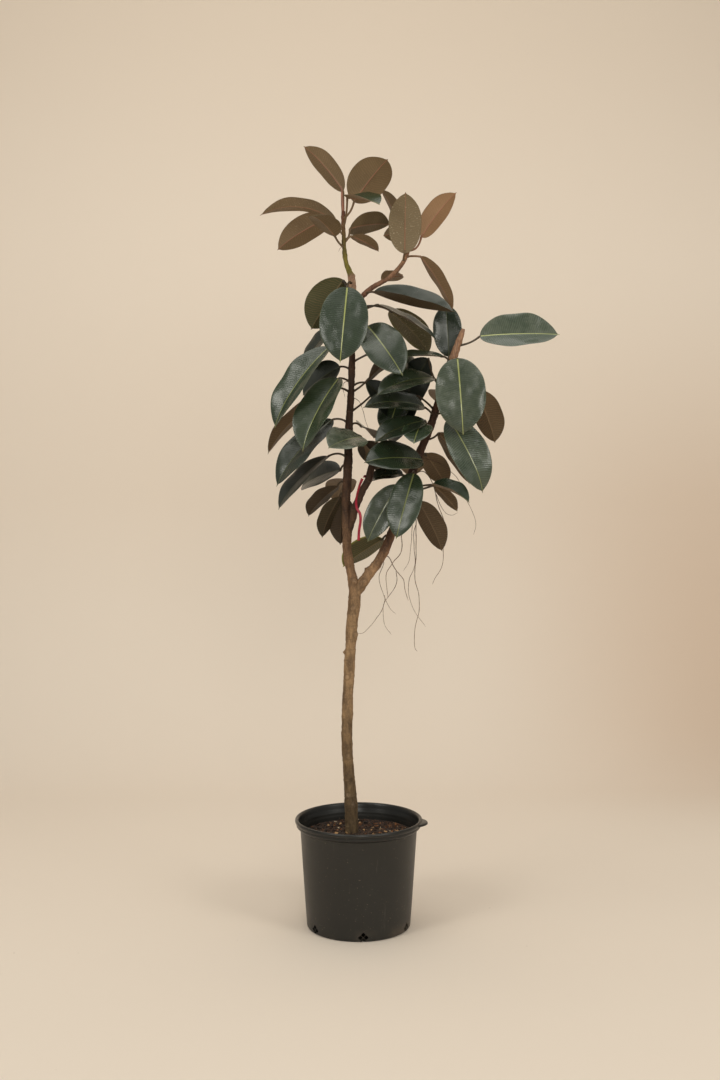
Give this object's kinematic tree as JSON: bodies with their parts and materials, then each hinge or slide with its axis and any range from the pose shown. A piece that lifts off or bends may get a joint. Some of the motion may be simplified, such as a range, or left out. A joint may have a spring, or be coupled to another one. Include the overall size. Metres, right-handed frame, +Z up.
{
  "type": "potted rubber plant",
  "caption": "Tall tree-form rubber plant with a bare forked trunk and large dark glossy leaves, standing in a plain black moulded nursery pot.",
  "frame": {"origin": "centre of the pot's flat underside, on the surface that it stands on", "axes": "+Z up along the trunk; -Y is the front, the side that shows the most leaf faces; +X is the right, towards the right branch"},
  "size_m": [0.6405, 0.3307, 1.701],
  "materials": {
    "pot_plastic": "black injection-moulded plastic, satin",
    "soil": "dark brown bark-based potting mix with pale flecks",
    "bark": "grey-brown young bark with leaf scars, darker and smoother above",
    "bud_sheath": "thin rust-red papery leaf sheath",
    "ribbon": "crimson plastic tape",
    "root": "thin dry tan aerial root",
    "leaf": "leathery blade, dark green and glossy above, burgundy-brown and matte below"
  },
  "bodies": {
    "root": {"nursery_pot": "pot_plastic", "potting_soil": "soil", "woody_stem": "bark", "left_bud_sheath": "bud_sheath", "right_bud_sheath": "bud_sheath", "marker_ribbon": "ribbon", "aerial_root_1": "root", "aerial_root_2": "root", "aerial_root_3": "root", "aerial_root_4": "root", "leader_leaf_01": "leaf", "leader_leaf_02": "leaf", "leader_leaf_03": "leaf", "leader_leaf_04": "leaf", "leader_leaf_05": "leaf", "leader_leaf_06": "leaf", "leader_leaf_07": "leaf", "leader_leaf_08": "leaf", "leader_leaf_09": "leaf", "leader_leaf_10": "leaf", "leader_leaf_11": "leaf", "leader_leaf_12": "leaf", "leader_leaf_13": "leaf", "leader_leaf_14": "leaf", "leader_leaf_15": "leaf", "leader_leaf_16": "leaf", "leader_leaf_17": "leaf", "leader_leaf_18": "leaf", "leader_leaf_19": "leaf", "leader_leaf_20": "leaf", "leader_leaf_21": "leaf", "leader_leaf_22": "leaf", "leader_leaf_23": "leaf", "leader_leaf_24": "leaf", "leader_leaf_25": "leaf", "leader_leaf_26": "leaf", "upper_shoot_leaf_01": "leaf", "upper_shoot_leaf_02": "leaf", "upper_shoot_leaf_03": "leaf", "upper_shoot_leaf_04": "leaf", "upper_shoot_leaf_05": "leaf", "upper_shoot_leaf_06": "leaf", "right_branch_leaf_01": "leaf", "right_branch_leaf_02": "leaf", "right_branch_leaf_03": "leaf", "right_branch_leaf_04": "leaf", "right_branch_leaf_05": "leaf", "right_branch_leaf_06": "leaf", "right_branch_leaf_07": "leaf", "right_branch_leaf_08": "leaf", "right_branch_leaf_09": "leaf", "right_branch_leaf_10": "leaf", "right_branch_leaf_11": "leaf", "right_branch_leaf_12": "leaf", "right_branch_leaf_13": "leaf", "right_branch_leaf_14": "leaf", "right_branch_leaf_15": "leaf", "right_branch_leaf_16": "leaf", "right_branch_leaf_17": "leaf", "right_bud_leaf_01": "leaf"}
  },
  "joints": []
}
